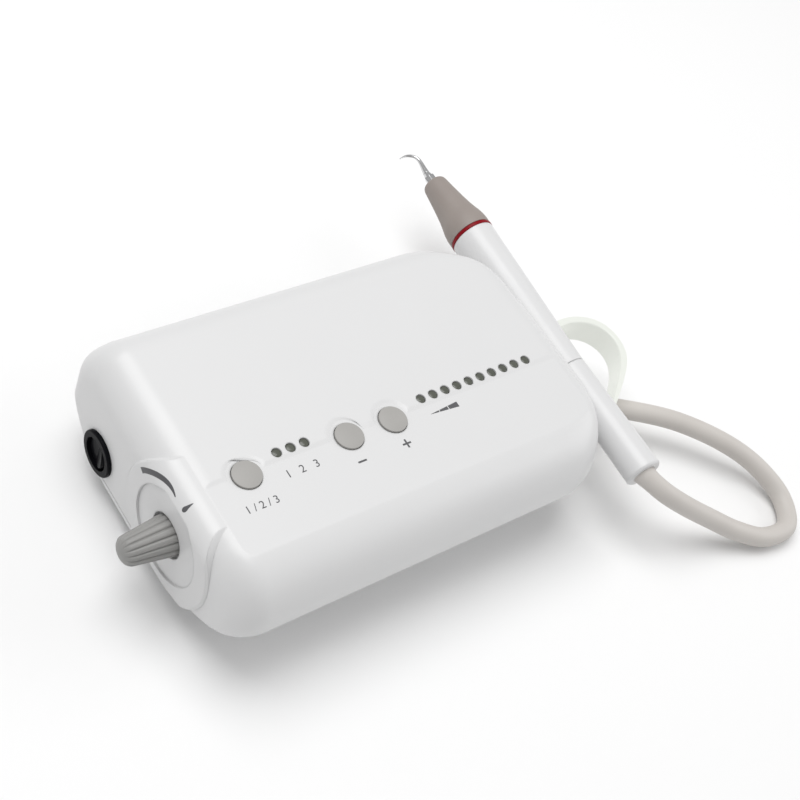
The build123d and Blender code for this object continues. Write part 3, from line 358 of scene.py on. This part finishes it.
def make_cable():
    """The silicone cable: a tube along a fixed path from the unit round to the connector."""
    path = smooth_path(CABLE_PATH, 14)
    sides = 32
    radii = []
    for centre in path:
        swell = min(1.0, max(0.0, (centre.y - CABLE_MOUTH_Y) / CABLE_SWELL))
        at_end = centre.z > 30.0 * MM
        radii.append(CABLE_R + (CABLE_END_R - CABLE_R) * swell if at_end else CABLE_R)
    verts = tube_rings(path, radii, sides)
    faces = grid_faces(len(path), sides)
    faces.append(tuple(reversed(range(sides))))
    faces.append(tuple(range((len(path) - 1) * sides, len(path) * sides)))
    cable = mesh_piece("cable_soft", verts, faces, "silicone_cable")
    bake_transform(cable)
    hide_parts("handpiece_cable")


def make_spring():
    """The plunger's spring: a fixed copy of the CAD spring, shown in its place."""
    rigid = frame["nodes"]["plunger_spring"]
    spring = bpy.data.objects.new("spring_soft", rigid.data.copy())
    bpy.context.collection.objects.link(spring)
    spring.matrix_world = rigid.matrix_world
    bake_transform(spring)
    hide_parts("plunger_spring")


def lamp_stations():
    """Where the lamps stand along the panel."""
    stations = [POWER_LAMP_X + LAMP_PITCH * i for i in range(POWER_LAMPS)]
    return stations + [MODE_LAMP_X + LAMP_PITCH * i for i in range(MODE_LAMPS)]


def make_lamp_lenses():
    """Thirteen dark light pipes with domed ends, just below the panel."""
    verts, faces = [], []
    sides = 40
    low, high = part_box("light_pipes")
    shoulder = high[2] - LAMP_STEM
    profile = [(low[2], LAMP_FLANGE_R), (shoulder, LAMP_FLANGE_R), (shoulder, LAMP_R)]
    for i in range(9):
        turn = math.radians(10.0 * i)
        profile.append((high[2] - LAMP_DOME * (1 - math.sin(turn)), LAMP_R * math.cos(turn)))
    for x in lamp_stations():
        start = len(verts)
        for z, r in profile:
            for j in range(sides):
                turn = 2 * math.pi * j / sides
                verts.append((x + r * math.cos(turn), LAMP_Y + r * math.sin(turn), z))
        rings = len(profile)
        faces += [tuple(start + v for v in face) for face in grid_faces(rings, sides)]
        faces.append(tuple(start + (rings - 1) * sides + j for j in range(sides)))
        faces.append(tuple(start + j for j in reversed(range(sides))))
    lenses = mesh_piece("lamp_lenses", verts, faces, "smoked_lens", "unit")
    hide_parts("light_pipes")


# ---------------------------------------------------------------- printed marks
def on_cover(y, z):
    """The point of the cover's left end that lies straight behind (y, z), and its outward normal."""
    cover = frame["nodes"]["top_cover"]
    into = cover.matrix_world.inverted()
    start = into @ Vector((-0.2, y, z))
    found, point, normal, _ = cover.ray_cast(start, (into.to_3x3() @ Vector((1, 0, 0))).normalized())
    if not found:
        raise RuntimeError("the mark misses the cover")
    return cover.matrix_world @ point, (cover.matrix_world.to_3x3() @ normal).normalized()


def flat_mark(name, outlines):
    """Thin printed shapes on the top panel, given as plan outlines in millimetres."""
    verts, faces = [], []
    for outline in outlines:
        start, count = len(verts), len(outline)
        for lift in (-PRINT_LIFT, PRINT_LIFT):
            verts += [(x * MM, y * MM, PANEL_Z + lift) for x, y in outline]
        faces.append(tuple(start + count + j for j in range(count)))
        faces.append(tuple(start + j for j in reversed(range(count))))
        for j in range(count):
            k = (j + 1) % count
            faces.append((start + j, start + k, start + count + k, start + count + j))
    mesh_piece(name, verts, faces, "print_grey", "unit", smooth=False)


def make_panel_marks():
    """Minus, plus and the growing power wedge."""
    far, thin = SIGN_REACH, SIGN_HALF_W
    minus = [(-far, -thin), (far, -thin), (far, thin), (-far, thin)]
    plus = [(-thin, -far), (thin, -far), (thin, -thin), (far, -thin), (far, thin), (thin, thin)]
    plus += [(-x, -y) for x, y in plus]
    for name, sign, (x0, y0) in (("mark_minus", minus, MINUS_AT), ("mark_plus", plus, PLUS_AT)):
        flat_mark(name, [[(x0 + x, y0 + y) for x, y in sign]])
    wedge = []
    start = WEDGE_BLOCKS[0][0]
    for x0, x1 in WEDGE_BLOCKS:
        low, high = (WEDGE_TIP + (x - start) * WEDGE_SLOPE for x in (x0, x1))
        wedge.append([(x0, WEDGE_Y - low), (x1, WEDGE_Y - high), (x1, WEDGE_Y + high), (x0, WEDGE_Y + low)])
    flat_mark("mark_wedge", wedge)


def make_digits():
    """Generic digits under the mode lamps and a mode label under the first button."""
    for name, text, x, y, size in LABELS:
        curve = bpy.data.curves.new(name, "FONT")
        curve.body = text
        curve.size = size * MM
        curve.align_x = "CENTER"
        curve.align_y = "CENTER"
        curve.extrude = PRINT_LIFT
        curve.resolution_u = 4
        label = bpy.data.objects.new(name + "_text", curve)
        bpy.context.collection.objects.link(label)
        label.location = (x * MM, y * MM, PANEL_Z)
        bpy.context.view_layer.update()
        shaped = label.evaluated_get(bpy.context.evaluated_depsgraph_get())
        solid = bpy.data.meshes.new_from_object(shaped)
        solid.transform(label.matrix_world)
        bpy.data.objects.remove(label)
        solid.materials.clear()
        solid.materials.append(MATERIALS["print_grey"])
        piece = bpy.data.objects.new(name, solid)
        bpy.context.collection.objects.link(piece)
        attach(piece, "unit")


def wall_band(name, far, near, strips=6):
    """A printed band wrapped on the left end, between two lines of points in millimetres."""
    verts, faces = [], []
    across = 2 * (strips + 1)
    for (far_y, far_z), (near_y, near_z) in zip(far, near):
        for i in range(strips + 1):
            share = i / strips
            y, z = far_y + (near_y - far_y) * share, far_z + (near_z - far_z) * share
            point, normal = on_cover(y * MM, z * MM)
            verts += [point - normal * PRINT_LIFT, point + normal * PRINT_LIFT]
    last = (len(far) - 1) * across
    for row in range(0, last, across):
        for a in range(row, row + across - 2, 2):
            b = a + across
            faces += [(a + 1, a + 3, b + 3, b + 1), (a, b, b + 2, a + 2)]
        a, b = row + across - 2, row + 2 * across - 2
        faces += [(row, row + 1, row + across + 1, row + across), (a, b, b + 1, a + 1)]
    for a in range(0, across - 2, 2):
        b = last + a
        faces += [(a, a + 2, a + 3, a + 1), (b, b + 1, b + 3, b + 2)]
    mesh_piece(name, verts, faces, "print_grey", "unit", smooth=False)


def make_water_marks():
    """On the boss: the tapering flow mark and a small water drop."""
    steps = 48
    centre_y, centre_z = KNOB_CENTRE.y / MM, KNOB_CENTRE.z / MM
    near, far = [], []
    for i in range(steps + 1):
        share = i / steps
        turn = math.radians(FLOW_START + (FLOW_END - FLOW_START) * share)
        inner = FLOW_INNER[0] + (FLOW_INNER[1] - FLOW_INNER[0]) * share ** FLOW_BEND
        outer = FLOW_OUTER[0] + (FLOW_OUTER[1] - FLOW_OUTER[0]) * share ** FLOW_BEND
        near.append((centre_y + inner * math.cos(turn), centre_z + inner * math.sin(turn)))
        far.append((centre_y + outer * math.cos(turn), centre_z + outer * math.sin(turn)))
    wall_band("mark_flow", far, near)

    left, right = [], []
    for i in range(17):
        turn = math.radians(-88.0 + 11.0 * i)
        half = DROP_R * math.cos(turn)
        z = DROP_Z + DROP_R * (math.sin(turn) + 1.3 * max(0.0, math.sin(turn)) ** 6)
        left.append((DROP_Y - half, z))
        right.append((DROP_Y + half, z))
    wall_band("mark_drop", left, right)


# ---------------------------------------------------------------- stage
def make_camera():
    """The camera at the viewing angle, rolled about its own axis."""
    az, el, roll = (math.radians(a) for a in (VIEW_AZIMUTH, VIEW_ELEVATION, VIEW_ROLL))
    back = Vector((math.sin(az) * math.cos(el), -math.cos(az) * math.cos(el), math.sin(el)))
    level = Vector((math.cos(az), math.sin(az), 0.0))
    right = level * math.cos(roll) + back.cross(level) * math.sin(roll)
    up = back.cross(right)
    data = bpy.data.cameras.new("camera")
    data.lens = LENS_MM
    data.sensor_width = 36.0
    data.clip_start = 0.01
    camera = bpy.data.objects.new("camera", data)
    bpy.context.collection.objects.link(camera)
    turn = Matrix((right, up, back)).transposed().to_4x4()
    camera.matrix_world = Matrix.Translation(VIEW_TARGET + back * VIEW_DISTANCE) @ turn
    bpy.context.scene.camera = camera


def make_light(name, place, size, energy):
    """A square soft light that looks at the object."""
    data = bpy.data.lights.new(name, "AREA")
    data.size = size
    data.energy = energy
    light = bpy.data.objects.new(name, data)
    bpy.context.collection.objects.link(light)
    light.location = place
    light.rotation_euler = (Vector(LIGHT_TARGET) - Vector(place)).to_track_quat("-Z", "Y").to_euler()


def make_floor():
    """A plain pale table."""
    half = FLOOR_HALF
    corners = [(-half, -half, 0), (half, -half, 0), (half, half, 0), (-half, half, 0)]
    floor = mesh_piece("floor", corners, [(0, 1, 2, 3)], "floor", smooth=False)


def make_stage():
    """Floor, two soft lights and a pale surrounding."""
    MATERIALS["floor"] = finish(
        "floor", (0.88, 0.88, 0.88), (0.875, 0.875, 0.875), 0.9, rough_spread=0.02, mottle=3.0, bump=0.0)
    make_floor()
    make_light("overhead", **OVERHEAD_LIGHT)
    make_light("front", **FRONT_LIGHT)
    world = bpy.data.worlds.new("studio")
    bpy.context.scene.world = world
    world.use_nodes = True
    world.node_tree.nodes["Background"].inputs["Color"].default_value = (1, 1, 1, 1)
    world.node_tree.nodes["Background"].inputs["Strength"].default_value = WORLD_STRENGTH
    bpy.context.scene.view_settings.view_transform = "Standard"


dress_cad_nodes()
make_knob()
make_cable()
make_spring()
make_lamp_lenses()
make_panel_marks()
make_digits()
make_water_marks()
make_stage()
make_camera()
